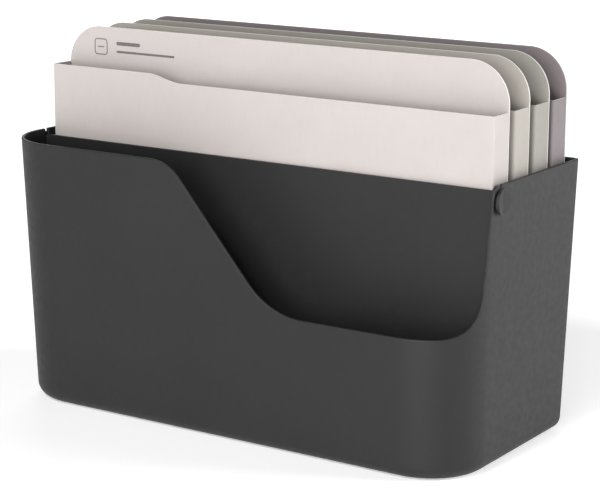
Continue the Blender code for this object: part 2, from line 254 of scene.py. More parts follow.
def add_object(name, data):
    """Adds an object with this data, which is a mesh, a light or a camera, to the scene."""
    obj = bpy.data.objects.new(name, data)
    bpy.context.scene.collection.objects.link(obj)
    return obj


def finish_object(name, shape, material):
    """Turns a bmesh into a smooth-shaded object with one material."""
    bmesh.ops.remove_doubles(shape, verts=shape.verts, dist=WELD)
    bmesh.ops.recalc_face_normals(shape, faces=shape.faces)
    mesh = mesh_from(name, shape)
    mesh.shade_smooth()
    mesh.set_sharp_from_angle(angle=SMOOTH_ANGLE)
    mesh.materials.append(material)
    return add_object(name, mesh)


def join_rings(shape, rings):
    """Faces between each closed ring of vertices and the next one."""
    for ring, following in zip(rings, rings[1:]):
        for i in range(len(ring)):
            j = (i + 1) % len(ring)
            shape.faces.new((ring[i], ring[j], following[j], following[i]))


# ---- thin-walled boxes: the tray and the folders' pockets ----


class Plan:
    """A box with round corners seen from above.

    Its outline is walked counter-clockwise from the middle of the rear side, by the distance along the
    outline at the rim, so that one number names the same place on the wall at every height and depth.
    """

    def __init__(self, size_at, rim_height, front_steps, rear_steps):
        self.size_at = size_at
        half, front, rear, front_radius, rear_radius = size_at(rim_height, 0.0)
        rear_half = half - rear_radius
        side = rear - rear_radius - front - front_radius
        rear_arc = rear_radius * pi / 2
        front_arc = front_radius * pi / 2
        lengths = [rear_half, rear_arc, side, front_arc, 2 * (half - front_radius)]
        lengths += [front_arc, side, rear_arc, rear_half]
        self.starts = [0.0]
        for length in lengths:
            self.starts.append(self.starts[-1] + length)
        self.total = self.starts[-1]
        self.rim_front_half = half - front_radius
        # The odd stretches are the four corners.
        arc_steps = {1: rear_steps, 3: front_steps, 5: front_steps, 7: rear_steps}
        self.columns = [0.0]
        for stretch, length in enumerate(lengths):
            first, last = self.starts[stretch], self.starts[stretch + 1]
            step = length / arc_steps.get(stretch, ceil(length / FLAT_STEP))
            self.columns += spread(first, last, step * STEP_SLACK)[1:]

    def point(self, place, z, inset):
        """The point of the wall at this place and height, drawn in by inset."""
        half, front, rear, front_radius, rear_radius = self.size_at(z, inset)
        corners = [
            (rear_radius - half, rear - rear_radius, rear_radius, 0.5 * pi),
            (front_radius - half, front + front_radius, front_radius, pi),
            (half - front_radius, front + front_radius, front_radius, 1.5 * pi),
            (half - rear_radius, rear - rear_radius, rear_radius, 2 * pi),
        ]

        def on_corner(index, share):
            x, y, radius, start = corners[index]
            turn = start + share * pi / 2
            return Vector((x + radius * cos(turn), y + radius * sin(turn), z))

        last_stretch = len(self.starts) - 2
        stretch = min(bisect_right(self.starts, place) - 1, last_stretch)
        first, last = self.starts[stretch], self.starts[stretch + 1]
        share = (place - first) / (last - first)
        if stretch % 2:
            return on_corner(stretch // 2, share)
        middle = Vector((0.0, rear, z))
        begin = on_corner(stretch // 2 - 1, 1.0) if stretch else middle
        end = on_corner(stretch // 2, 0.0) if stretch < last_stretch else middle
        return begin.lerp(end, share)

    def at_front(self, x, z):
        """The place of the point of the front wall that has this X."""
        half, _, _, front_radius, _ = self.size_at(z, 0.0)
        return self.total / 2 + x / (half - front_radius) * self.rim_front_half

    def at_right(self, y, z):
        """The place of the point of the right side, or of the corner before it, that has this Y."""
        half, front, rear, front_radius, rear_radius = self.size_at(z, 0.0)
        begin, end = front + front_radius, rear - rear_radius
        if y < begin:
            share = acos((begin - y) / front_radius) / (pi / 2)
            return self.starts[5] + share * (self.starts[6] - self.starts[5])
        return self.starts[6] + (y - begin) / (end - begin) * (self.starts[7] - self.starts[6])


def join_stops(plan, stops):
    """Links stretches of a rim path with level runs that stop at each of the plan's columns."""
    path = list(stops[0])
    for stop in stops[1:]:
        level = path[-1][1]
        low, high = path[-1][0] + WELD, stop[0][0] - WELD
        path += [(place, level) for place in plan.columns if low < place < high]
        path += stop
    return without_repeats(path)


def mitres(path):
    """For each point of a path, how far it moves towards the material when the path moves in by 1."""
    found = []
    for i in range(len(path)):
        normals = []
        for a, b in ((i - 1, i), (i, i + 1)):
            if a < 0 or b >= len(path):
                continue
            along = Vector((path[b][0] - path[a][0], path[b][1] - path[a][1])).normalized()
            normals.append(Vector((along.y, -along.x)))
        both = normals[0] + normals[-1]
        found.append(both / (1 + normals[0].dot(normals[-1])))
    return found


def edge_profile(thickness, edge):
    """The rounded top of a wall, as (distance below the rim, depth into the wall), outside to inside."""
    turns = [pi / 2 * i / EDGE_STEPS for i in range(EDGE_STEPS + 1)]
    outer = [(edge * (1 - sin(t)), edge * (1 - cos(t))) for t in turns]
    inner = [(below, thickness - depth) for below, depth in reversed(outer)]
    below = edge + HOLD
    return [(below, 0.0)] + outer + inner + [(below, thickness)]


def wall_faces(border):
    """Triangles inside a border that is drawn flat, with a regular grid of points away from it.

    It works in millimetres, where the triangulation's tolerance is far below any size here.
    """
    outline = np.array(border) / MM
    ends = np.roll(outline, -1, axis=0)
    step = FLAT_STEP / MM
    low, high = outline.min(axis=0), outline.max(axis=0)
    lowest = outline[outline[:, 1] < low[1] + LEVEL_TOLERANCE]
    columns = sorted({round(x, 4) for x in lowest[:, 0]})
    rows = np.arange(low[1] + step, high[1], step)
    grid = np.array([(x, z) for x in columns[1:-1] for z in rows])
    along = ends - outline
    reach = grid[:, None, :] - outline[None, :, :]
    share = (reach * along).sum(axis=2) / (along * along).sum(axis=1)
    nearest = reach - np.clip(share, 0, 1)[:, :, None] * along
    distance = np.sqrt((nearest * nearest).sum(axis=2)).min(axis=1)
    above = (outline[None, :, 1] > grid[:, None, 1]) != (ends[None, :, 1] > grid[:, None, 1])
    rise = np.where(along[:, 1] == 0, 1.0, along[:, 1])
    crossing = outline[:, 0] + (grid[:, None, 1] - outline[None, :, 1]) * along[:, 0] / rise
    inside = (above & (grid[:, None, 0] < crossing)).sum(axis=1) % 2 == 1
    kept = grid[inside & (distance > GRID_CLEARANCE / MM)]
    points = [Vector(p) for p in outline] + [Vector(p) for p in kept]
    loop = list(range(len(border)))
    found = delaunay_2d_cdt(points, [], [loop], 1, JOIN_TOLERANCE)
    return [(p.x * MM, p.y * MM) for p in found[0]], found[2]


def open_box(name, plan, thickness, rim, edge, foot_rings, material):
    """A thin-walled box with a rim of any shape and rounded edges.

    rim is the path of the wall's top edge, as (place, height), and foot_rings(inset) lists the sections
    of the rounded bottom, as (height, inset), from the bottom up to where the plain wall starts.
    """
    shape = bmesh.new()
    # Edge weights, 1 on the rounded rim: the charcoal is lightened there as partly wear and partly a
    # painted highlight, and the sheets get paler cut edges.
    edge_mask = shape.verts.layers.float.new("edge")
    profile = edge_profile(thickness, edge)
    turns = mitres(rim)
    rows = []
    for below, depth in profile:
        row = []
        for (place, z), turn in zip(rim, turns):
            vert = shape.verts.new(plan.point(place + turn.x * below, z + turn.y * below, depth))
            vert[edge_mask] = max(0.0, 1.0 - below / edge)
            row.append(vert)
        rows.append(row)
    for upper, lower in zip(rows, rows[1:]):
        for i in range(len(rim) - 1):
            shape.faces.new((upper[i], upper[i + 1], lower[i + 1], lower[i]))
    reach = profile[0][0]
    top = [(place + turn.x * reach, z + turn.y * reach) for (place, z), turn in zip(rim, turns)]
    start = foot_rings(0.0)[-1][0]
    end_rows = spread(start, top[0][1], FLAT_STEP)[1:-1]
    border = [(place, start) for place in plan.columns]
    border += [(plan.total, z) for z in end_rows] + top[::-1]
    border += [(0.0, z) for z in reversed(end_rows)]
    places, faces = wall_faces(border)
    for inset in (0.0, thickness):
        verts = [shape.verts.new(plan.point(place, z, inset)) for place, z in places]
        for face in faces:
            shape.faces.new([verts[i] for i in face])
        rings = []
        for z, depth in foot_rings(inset):
            rings.append([plan.point(place, z, depth) for place in plan.columns[:-1]])
        rings.insert(0, drawn_to_middle(rings[0]))
        skin(shape, rings)
    return finish_object(name, shape, material)


def drawn_to_middle(ring):
    """A ring drawn in a little, so that the flat cap inside it shades flat."""
    xs = [p.x for p in ring]
    ys = [p.y for p in ring]
    middle = Vector(((min(xs) + max(xs)) / 2, (min(ys) + max(ys)) / 2, ring[0].z))
    scale_x = 1 - 2 * CAP_DRAWN_IN / (max(xs) - min(xs))
    scale_y = 1 - 2 * CAP_DRAWN_IN / (max(ys) - min(ys))
    return [
        Vector((middle.x + (p.x - middle.x) * scale_x, middle.y + (p.y - middle.y) * scale_y, p.z))
        for p in ring
    ]


def skin(shape, rings):
    """Faces between closed rings of points, and a cap on the first."""
    verts = [[shape.verts.new(point) for point in ring] for ring in rings]
    join_rings(shape, verts)
    shape.faces.new(verts[0])


# ---- flat plates with rounded edges ----


def plate_rings(thickness, edge):
    """Sections of a plate: how far its outline is drawn in, its depth before the middle, and how much its
    rounded edge is lightened, partly wear and partly a painted highlight on the charcoal.
    """
    turns = [pi / 2 * i / EDGE_STEPS for i in range(EDGE_STEPS + 1)]
    steps = [(edge + HOLD, thickness / 2, 0.0)]
    for t in turns:
        drawn_in, depth = edge * (1 - sin(t)), thickness / 2 - edge * (1 - cos(t))
        steps.append((drawn_in, depth, sin(t)))
    return steps + [(drawn_in, -depth, edge_amount) for drawn_in, depth, edge_amount in reversed(steps)]


def plate(name, outline, thickness, edge, y, material):
    """A flat plate standing across the tray at depth y, its outline counter-clockwise from the front."""
    outline = without_repeats(outline)
    closed = [outline[-1]] + outline + [outline[0]]
    turns = mitres(closed)[1:-1]
    shape = bmesh.new()
    edge_mask = shape.verts.layers.float.new("edge")
    rows = []
    for drawn_in, depth, edge_amount in plate_rings(thickness, edge):
        row = []
        for (x, z), turn in zip(outline, turns):
            # The path runs with its material on the left, so the mitre points the other way.
            vert = shape.verts.new((x - turn.x * drawn_in, y - depth, z - turn.y * drawn_in))
            vert[edge_mask] = edge_amount
            row.append(vert)
        rows.append(row)
    join_rings(shape, rows)
    shape.faces.new(rows[0])
    shape.faces.new(rows[-1])
    return finish_object(name, shape, material)


# ---- tray ----


def tray_size(z, inset):
    """Half width, front, rear and the radii of the front and rear corners at height z."""
    fall = 1 - z / TRAY_HEIGHT
    half = RIM_HALF - SIDE_DRAFT * fall - inset
    front = FRONT + FRONT_DRAFT * fall + inset
    rear = REAR - REAR_DRAFT * fall - inset
    corner = FRONT_CORNER_AT_RIM + (FRONT_CORNER_AT_BASE - FRONT_CORNER_AT_RIM) * fall - inset
    return half, front, rear, corner, max(REAR_CORNER - inset, REAR_CORNER_LEAST)


def half_width(y, z, inset):
    """Half the width of the tray, drawn in by inset, at depth y and height z."""
    half, front, _, corner, _ = tray_size(z, inset)
    into_corner = front + corner - y
    if into_corner <= 0:
        return half
    return half - corner + sqrt(corner**2 - into_corner**2)


def tray_foot(inset):
    """The rounded bottom edge of the tray, outside at inset 0 and inside at the wall's thickness."""
    bottom = FLOOR if inset else 0.0
    fillet = BASE_FILLET - inset
    rings = []
    for step in range(FILLET_STEPS + 1):
        turn = pi / 2 * step / FILLET_STEPS
        rings.append((bottom + fillet * (1 - cos(turn)), inset + fillet * (1 - sin(turn))))
    return rings + [(FLOOR + BASE_FILLET, inset)]


def dip_front_outline():
    """The dip's edge on the front wall, from its crest down to its level floor, as (X, Z)."""
    crest_x = -RIM_HALF + DIP_START_FROM_LEFT
    crest_z = TRAY_HEIGHT - DIP_CREST_RADIUS
    valley_z = DIP_HEIGHT + DIP_VALLEY_RADIUS
    reach = DIP_CREST_RADIUS + DIP_VALLEY_RADIUS
    valley_x = crest_x + (reach + (crest_z - valley_z) * cos(DIP_SLOPE)) / sin(DIP_SLOPE)
    crest = arc(crest_x, crest_z, DIP_CREST_RADIUS, pi / 2, pi / 2 - DIP_SLOPE, ARC_STEPS)
    valley = arc(valley_x, valley_z, DIP_VALLEY_RADIUS, 1.5 * pi - DIP_SLOPE, 1.5 * pi, ARC_STEPS)
    return crest + along_line(crest[-1], valley[0]) + valley


def along_line(first, last):
    """The points between two ends, close enough together for a line on a curved wall."""
    apart = Vector(last) - Vector(first)
    count = ceil(apart.length / FLAT_STEP * 2)
    return [tuple(Vector(first) + apart * i / count) for i in range(1, count)]


def dip_side_outline():
    """The dip's edge where it climbs the right side again, as (Y, Z)."""
    shoulder_z = TRAY_HEIGHT - DIP_SIDE_SHOULDER
    shoulder_y = DIVIDER_Y - SLOT_WIDTH / 2 - DIP_SIDE_TO_SLOT + DIP_SIDE_SHOULDER
    low_z = DIP_HEIGHT + DIP_SIDE_RADIUS
    reach = DIP_SIDE_RADIUS + DIP_SIDE_SHOULDER
    apart = (reach + (shoulder_z - low_z) * sin(DIP_SIDE_LEAN)) / cos(DIP_SIDE_LEAN)
    low_y = shoulder_y - apart
    valley = arc(low_y, low_z, DIP_SIDE_RADIUS, -pi / 2, -DIP_SIDE_LEAN, ARC_STEPS)
    lean, level = pi - DIP_SIDE_LEAN, pi / 2
    shoulder = arc(shoulder_y, shoulder_z, DIP_SIDE_SHOULDER, lean, level, SMALL_CORNER_STEPS)
    return valley + along_line(valley[-1], shoulder[0]) + shoulder


def slot_outline():
    """The slot with its rounded mouth, from front to rear, as (Y, Z)."""
    half = SLOT_WIDTH / 2
    mouth = SLOT_MOUTH_RADIUS
    level = TRAY_HEIGHT - mouth
    front = arc(DIVIDER_Y - half - mouth, level, mouth, pi / 2, 0.0, SMALL_CORNER_STEPS)
    rear = arc(DIVIDER_Y + half + mouth, level, mouth, pi, pi / 2, SMALL_CORNER_STEPS)
    return front + [(DIVIDER_Y - half, SLOT_BOTTOM), (DIVIDER_Y + half, SLOT_BOTTOM)] + rear


def tray_rim(plan):
    """The tray's top edge: a slot on the left, the dip in front and on the right, and a slot there too."""
    slot = [(plan.at_right(y, z), z) for y, z in slot_outline()]
    left_slot = [(plan.total - place, z) for place, z in reversed(slot)]
    dip = [(plan.at_front(x, z), z) for x, z in dip_front_outline()]
    climb = [(plan.at_right(y, z), z) for y, z in dip_side_outline()]
    ends = [(0.0, TRAY_HEIGHT)], [(plan.total, TRAY_HEIGHT)]
    return join_stops(plan, [ends[0], left_slot, dip, climb, slot, ends[1]])


def make_tray(material):
    plan = Plan(tray_size, TRAY_HEIGHT, CORNER_STEPS, SMALL_CORNER_STEPS)
    tray = open_box("tray_shell", plan, WALL, tray_rim(plan), RIM_EDGE, tray_foot, material)
    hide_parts("tray_body")
    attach(tray, "tray")


# ---- divider ----


def divider_outline():
    """The divider plate with a tab at each end, as (X, Z), clear of the drafted side walls."""
    foot, top = FOLDER_FOOT_RADIUS, DIVIDER_TOP_RADIUS
    foot_z = FOOT + foot
    foot_half = half_width(DIVIDER_LOW.y, foot_z, WALL) - RUNNING_GAP
    top_half = half_width(DIVIDER_LOW.y, DIVIDER_TOP, WALL) - RUNNING_GAP
    slope = (top_half - foot_half) / (DIVIDER_TOP - foot_z)
    tab_low = HEAD_Z - TAB_HEIGHT / 2
    tab_high = HEAD_Z + TAB_HEIGHT / 2
    half = arc(foot_half - foot, foot_z, foot, -pi / 2, 0.0, FILLET_STEPS)
    half += [
        (top_half - slope * (DIVIDER_TOP - tab_low), tab_low),
        (TAB_END, tab_low),
        (TAB_END, tab_high),
        (top_half - slope * (DIVIDER_TOP - tab_high), tab_high),
    ]
    half += arc(top_half - top, DIVIDER_TOP - top, top, 0.0, pi / 2, EDGE_STEPS)
    return half + [(-x, z) for x, z in reversed(half)]


def make_divider(material):
    outline = divider_outline()
    sheet = plate("divider_sheet", outline, DIVIDER_THICKNESS, DIVIDER_EDGE, DIVIDER_Y, material)
    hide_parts("divider_plate")
    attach(sheet, "divider")


def head_drop(radius):
    """How far the rounded rim of a button head falls below its face, at this distance from the middle."""
    into_edge = radius - (HEAD_RADIUS - HEAD_EDGE)
    if into_edge <= 0:
        return 0.0
    return HEAD_EDGE - sqrt(max(0.0, HEAD_EDGE**2 - into_edge**2))


def head_groove(y):
    """How deep the V-shaped grip lies below the face, with a softly rounded valley line."""
    reach = HEAD_RADIUS - HEAD_EDGE
    across = sqrt(y * y + HEAD_VALLEY**2) - HEAD_VALLEY
    return HEAD_GRIP_DEPTH * max(0.0, 1 - across / reach)


def head_radii():
    """Radii of the rings on a button head's face, from the middle out, with more of them at its rim."""
    face = [1 - (1 - i / HEAD_RINGS) ** HEAD_RING_CROWDING for i in range(1, HEAD_RINGS + 1)]
    edge = [1 - sin(pi / 2 * i / EDGE_STEPS) for i in range(EDGE_STEPS)]
    radii = [HEAD_RADIUS * share for share in face]
    radii += [HEAD_RADIUS - HEAD_EDGE * share for share in edge]
    return sorted(radii)


def make_head(side, material):
    """A button head: a disc with a V-shaped grip, hollow behind for the divider's tab."""
    node = "right_button" if side > 0 else "left_button"
    low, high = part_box(node)
    inner, outer = (low.x, high.x) if side > 0 else (high.x, low.x)
    shape = bmesh.new()
    # Edge weights on the rim of the face, where the charcoal is lightened as partly wear and partly a
    # painted highlight.
    edge_mask = shape.verts.layers.float.new("edge")
    turns = [2 * pi * i / HEAD_SIDES for i in range(HEAD_SIDES)]
    middle = shape.verts.new((outer - side * head_groove(0.0), DIVIDER_Y, HEAD_Z))
    rows = []
    for radius in head_radii():
        row = []
        for turn in turns:
            y, z = radius * cos(turn), radius * sin(turn)
            x = outer - side * (head_groove(y) + head_drop(radius))
            vert = shape.verts.new((x, DIVIDER_Y + y, HEAD_Z + z))
            vert[edge_mask] = smoothstep((radius - HEAD_RADIUS + 2 * HEAD_EDGE) / HEAD_EDGE)
            row.append(vert)
        rows.append(row)
    # The back edge is a plain chamfer.
    for radius, lift in ((HEAD_RADIUS, HEAD_EDGE), (HEAD_RADIUS - HEAD_EDGE, 0.0)):
        x = inner + side * lift
        ring = [(x, DIVIDER_Y + radius * cos(turn), HEAD_Z + radius * sin(turn)) for turn in turns]
        rows.append([shape.verts.new(point) for point in ring])
    join_rings(shape, rows)
    for i in range(HEAD_SIDES):
        shape.faces.new((middle, rows[0][i], rows[0][(i + 1) % HEAD_SIDES]))
    shape.faces.new(rows[-1])
    head = finish_object(node + "_head", shape, material)
    cut_socket(head, inner)
    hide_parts(node)
    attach(head, "divider")


def cut_socket(head, inner):
    """Takes the tab's socket out of the back of a button head."""
    depth = abs(TAB_END) - abs(inner) + GAP
    shape = bmesh.new()
    bmesh.ops.create_cube(shape, size=1.0)
    size = Vector((2 * depth, SLOT_WIDTH, TAB_HEIGHT + 2 * GAP))
    bmesh.ops.scale(shape, vec=size, verts=shape.verts)
    bmesh.ops.translate(shape, vec=(inner, DIVIDER_Y, HEAD_Z), verts=shape.verts)
    name = head.name + "_socket"
    cutter = add_object(name, mesh_from(name, shape))
    modifier = head.modifiers.new("socket", "BOOLEAN")
    modifier.operation = "DIFFERENCE"
    modifier.solver = "EXACT"
    modifier.object = cutter
    bpy.context.view_layer.update()
    graph = bpy.context.evaluated_depsgraph_get()
    cut = bpy.data.meshes.new_from_object(head.evaluated_get(graph))
    head.modifiers.clear()
    head.data = cut
    bpy.data.objects.remove(cutter, do_unlink=True)


# ---- folders ----


class Pocket:
    """The sizes of one folder's pocket, read from its CAD box."""

    def __init__(self, name):
        low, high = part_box(name + "_pocket")
        self.half = high.x
        self.front, self.rear = low.y, high.y
        self.foot, self.top_left = low.z, high.z
        self.top_right = self.foot + POCKET_HEIGHT_RIGHT
        self.lip = self.foot + POCKET_LIP_HEIGHT

    def size_at(self, z, inset):
        """Half width, front, rear and corner radii at height z, with the rounded feet and bottom fold."""
        lift = z - self.foot - inset
        foot = drawn_by_round(FOLDER_FOOT_RADIUS - inset, lift)
        fold = drawn_by_round(POCKET_FOLD_RADIUS - inset, lift)
        # Above the lip the back is open, and the side walls run on to its full depth.
        open_back = smoothstep((z - self.lip) / POCKET_LIP_BLEND)
        rear = self.rear - fold - inset * (1 - open_back)
        lip_corner = max(POCKET_LIP_CORNER - inset, SHARP)
        rear_radius = lip_corner + (SHARP - lip_corner) * open_back
        crease = max(POCKET_CREASE_RADIUS - inset, POCKET_CREASE_RADIUS - SHEET)
        return self.half - foot - inset, self.front + fold + inset, rear, crease, rear_radius

    def foot_rings(self, inset):
        radius = FOLDER_FOOT_RADIUS - inset
        steps = [pi / 2 * i / FILLET_STEPS for i in range(FILLET_STEPS + 1)]
        return [(self.foot + inset + radius * (1 - cos(turn)), inset) for turn in steps]

    def rim(self, plan):
        """The pocket's top edge: a low lip behind, open sides, and a front that steps down to the right."""
        corner, steps = POCKET_TOP_CORNER, POCKET_TOP_STEPS
        left = plan.starts[2]
        right = plan.total - left
        left_top = arc(left + corner, self.top_left - corner, corner, pi, pi / 2, steps)
        right_top = arc(right - corner, self.top_right - corner, corner, pi / 2, 0.0, steps)
        left_stop = [(left, self.lip)] + up_line(left, self.lip, left_top[0][1]) + left_top
        right_stop = right_top + up_line(right, self.lip, right_top[-1][1])[::-1] + [(right, self.lip)]
        step = [(plan.at_front(x, z), z) for x, z in self.step_outline()]
        ends = [(0.0, self.lip)], [(plan.total, self.lip)]
        return join_stops(plan, [ends[0], left_stop, step, right_stop, ends[1]])

    def step_outline(self):
        """The smooth step in the front's top edge, from left to right, as (X, Z)."""
        middle = -self.half + POCKET_STEP_FROM_LEFT
        points = []
        for i in range(ARC_STEPS + 1):
            share = i / ARC_STEPS
            height = (1 + cos(pi * share)) / 2
            z = self.top_right + (self.top_left - self.top_right) * height
            points.append((middle + POCKET_STEP_WIDTH * (share - 0.5), z))
        return points


def up_line(place, low, high):
    """Points between two heights at one place, closer together near the lip where the wall's end bends."""
    near = [low + POCKET_LIP_BLEND * share for share in LIP_STOPS]
    return [(place, z) for z in near + spread(near[-1], high, FLAT_STEP)[1:-1]]


def drawn_by_round(radius, lift):
    """How far a rounded bottom edge draws a wall in, at this height above the bottom."""
    below = radius - max(0.0, lift)
    if below <= 0:
        return 0.0
    return radius - sqrt(max(0.0, radius**2 - below**2))


def make_pocket(name, material):
    pocket = Pocket(name)
    plan = Plan(pocket.size_at, pocket.top_right, SMALL_CORNER_STEPS, 1)
    rim = pocket.rim(plan)
    sheet = open_box(name + "_pocket_sheet", plan, SHEET, rim, SHEET_EDGE, pocket.foot_rings, material)
    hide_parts(name + "_pocket")
    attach(sheet, name + "_folder")


def make_panel(name, material):
    low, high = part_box(name + "_back_panel")
    half, top, foot = high.x, FOLDER_TOP_RADIUS, FOLDER_FOOT_RADIUS
    outline = arc(half - foot, low.z + foot, foot, -pi / 2, 0.0, FILLET_STEPS)
    outline += arc(half - top, high.z - top, top, 0.0, pi / 2, ARC_STEPS)
    outline += [(-x, z) for x, z in reversed(outline)]
    middle = (low.y + high.y) / 2
    panel = plate(name + "_panel_sheet", outline, high.y - low.y, SHEET_EDGE, middle, material)
    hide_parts(name + "_back_panel")
    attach(panel, name + "_folder")


def rounded_box(low_x, low_z, high_x, high_z, radius):
    """A rectangle with round corners, counter-clockwise, as (X, Z)."""
    points = arc(high_x - radius, low_z + radius, radius, -pi / 2, 0.0, EDGE_STEPS)
    points += arc(high_x - radius, high_z - radius, radius, 0.0, pi / 2, EDGE_STEPS)
    points += arc(low_x + radius, high_z - radius, radius, pi / 2, pi, EDGE_STEPS)
    return points + arc(low_x + radius, low_z + radius, radius, pi, 1.5 * pi, EDGE_STEPS)


def add_bar(shape, low_x, low_z, width, height, depths):
    """A flat solid bar with round ends between two depths."""
    outline = rounded_box(low_x, low_z, low_x + width, low_z + height, height * BAR_END_SHARE)
    rings = [[shape.verts.new((x, depth, z)) for x, z in outline] for depth in depths]
    join_rings(shape, rings)
    for ring in rings:
        shape.faces.new(ring)


def add_frame(shape, outer, inner, depths):
    """A flat closed frame between two depths."""
    near, far = depths
    rings = []
    for outline, depth in ((outer, near), (outer, far), (inner, far), (inner, near)):
        rings.append([shape.verts.new((x, depth, z)) for x, z in outline])
    join_rings(shape, rings + rings[:1])


def make_marks(name, count, material):
    """A plain printed mark: a framed icon with some lines in it, and two bars beside it."""
    low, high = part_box(name + "_back_panel")
    depths = low.y - MARK_RISE, low.y + MARK_RISE
    left, top = low.x + MARK_FROM_LEFT, high.z - MARK_BELOW_TOP
    right, bottom = left + MARK_ICON_SIZE, top - MARK_ICON_SIZE
    line, radius = MARK_ICON_LINE, MARK_ICON_RADIUS
    shape = bmesh.new()
    outer = rounded_box(left, bottom, right, top, radius)
    inner = rounded_box(left + line, bottom + line, right - line, top - line, radius - line)
    add_frame(shape, outer, inner, depths)
    lowest = (bottom + top - line - MARK_LINE_PITCH * (count - 1)) / 2
    width = MARK_ICON_SIZE - 2 * MARK_LINE_INSET
    for i in range(count):
        add_bar(shape, left + MARK_LINE_INSET, lowest + MARK_LINE_PITCH * i, width, line, depths)
    for below_top, height, width in MARK_BARS:
        add_bar(shape, right + MARK_TEXT_GAP, top - below_top, width, height, depths)
    marks = finish_object(name + "_panel_mark", shape, material)
    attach(marks, name + "_folder")


# ---- materials ----


class Nodes:
    """A material's node tree, with short calls for the nodes that the materials here share."""

    def __init__(self, name):
        self.material = bpy.data.materials.new(name)
        self.material.use_nodes = True
        self.tree = self.material.node_tree
        self.shader = self.tree.nodes["Principled BSDF"]
        self.place = self.add("ShaderNodeTexCoord").outputs["Object"]

    def add(self, kind, **values):
        node = self.tree.nodes.new(kind)
        for key, value in values.items():
            setattr(node, key, value)
        return node

    def link(self, source, target):
        self.tree.links.new(source, target)

    def noise(self, scale, detail=2.0, roughness=0.5, stretch=None):
        node = self.add("ShaderNodeTexNoise")
        node.inputs["Scale"].default_value = scale
        node.inputs["Detail"].default_value = detail
        node.inputs["Roughness"].default_value = roughness
        place = self.place
        if stretch:
            mapping = self.add("ShaderNodeMapping")
            mapping.inputs["Scale"].default_value = stretch
            self.link(place, mapping.inputs["Vector"])
            place = mapping.outputs["Vector"]
        self.link(place, node.inputs["Vector"])
        return node.outputs["Fac"]

    def ranged(self, value, low, high, from_low=0.3, from_high=0.7):
        """Maps from_low..from_high, by default a noise's middle range, to low..high."""
        node = self.add("ShaderNodeMapRange")
        node.inputs["From Min"].default_value = from_low
        node.inputs["From Max"].default_value = from_high
        node.inputs["To Min"].default_value = low
        node.inputs["To Max"].default_value = high
        self.link(value, node.inputs["Value"])
        return node.outputs["Result"]

    def math(self, operation, first, second):
        node = self.add("ShaderNodeMath", operation=operation)
        for socket, value in zip(node.inputs, (first, second)):
            if isinstance(value, float):
                socket.default_value = value
            else:
                self.link(value, socket)
        return node.outputs["Value"]

    def mix(self, factor, first, second):
        """Mixes two colours, each a colour or the output of another node."""
        node = self.add("ShaderNodeMix", data_type="RGBA")
        self.link(factor, node.inputs["Factor"])
        # A Mix node has sockets of each type, and these are its two colours in and its colour out.
        for socket, value in zip((node.inputs[6], node.inputs[7]), (first, second)):
            if isinstance(value, tuple):
                socket.default_value = (*value, 1.0)
            else:
                self.link(value, socket)
        return node.outputs[2]

    def attribute(self, name):
        node = self.add("ShaderNodeAttribute", attribute_name=name)
        return node.outputs["Fac"]

    def bump(self, height, strength, distance):
        node = self.add("ShaderNodeBump")
        node.inputs["Strength"].default_value = strength
        node.inputs["Distance"].default_value = distance
        self.link(height, node.inputs["Height"])
        self.link(node.outputs["Normal"], self.shader.inputs["Normal"])


def scaled(colour, factor):
    return tuple(channel * factor for channel in colour)


def charcoal_plastic():
    """Matte moulded plastic with a fine spark-eroded grain, lighter along its edges: partly rubbed wear,
    partly a painted highlight on the rounded rims.
    """
    nodes = Nodes("charcoal_moulded_plastic")
    cloud = nodes.ranged(nodes.noise(14.0, detail=3.0), 0.0, 1.0)
    colour = nodes.mix(cloud, scaled(CHARCOAL, 0.93), scaled(CHARCOAL, 1.07))
    speck = nodes.ranged(nodes.noise(900.0, roughness=0.7), 0.0, 1.0, from_low=0.62, from_high=0.8)
    colour = nodes.mix(nodes.math("MULTIPLY", speck, 0.35), colour, scaled(CHARCOAL, 1.6))
    # A painted highlight on the rounded edges, mixed with rubbed wear: the edge weights, broken into
    # patches by a noise, lighten the colour and lower the roughness there.
    highlight_and_wear_patches = nodes.noise(90.0, detail=4.0, roughness=0.65)
    highlight_and_wear_patches = nodes.ranged(highlight_and_wear_patches, 0.35, 1.0, from_low=0.35, from_high=0.65)
    edge_mask = nodes.math("MULTIPLY", nodes.attribute("edge"), highlight_and_wear_patches)
    colour = nodes.mix(nodes.math("MULTIPLY", edge_mask, 0.5), colour, scaled(CHARCOAL, 2.3))
    nodes.link(colour, nodes.shader.inputs["Base Color"])
    nodes.shader.inputs["Specular IOR Level"].default_value = 0.30
    rough = nodes.ranged(nodes.noise(260.0, detail=3.0), 0.50, 0.60)
    rough = nodes.math("SUBTRACT", rough, nodes.math("MULTIPLY", edge_mask, 0.12))
    nodes.link(rough, nodes.shader.inputs["Roughness"])
    grain = nodes.noise(1900.0, detail=3.0, roughness=0.6)
    nodes.bump(grain, strength=0.30, distance=0.06 * MM)
    return nodes.material


def coloured_sheet(name, colour):
    """Satin polypropylene sheet: a faint mottle, a fine pressed grain and paler cut edges."""
    nodes = Nodes(name + "_satin_sheet")
    mottle = nodes.ranged(nodes.noise(34.0, detail=4.0, roughness=0.6), 0.0, 1.0)
    tone = nodes.mix(mottle, scaled(colour, 0.975), scaled(colour, 1.02))
    fibre = nodes.noise(420.0, roughness=0.7, stretch=(1.0, 1.0, 0.22))
    fibre = nodes.ranged(fibre, 0.0, 1.0, from_low=0.52, from_high=0.8)
    tone = nodes.mix(nodes.math("MULTIPLY", fibre, 0.30), tone, scaled(colour, 0.86))
    pale = tuple(channel + (1.0 - channel) * 0.42 for channel in colour)
    edge = nodes.math("MULTIPLY", nodes.attribute("edge"), 0.8)
    tone = nodes.mix(edge, tone, pale)
    nodes.link(tone, nodes.shader.inputs["Base Color"])
    rough = nodes.ranged(nodes.noise(300.0), 0.52, 0.62)
    nodes.link(rough, nodes.shader.inputs["Roughness"])
    grain = nodes.noise(1300.0, detail=3.0, roughness=0.6)
    nodes.bump(grain, strength=0.22, distance=0.05 * MM)
    return nodes.material


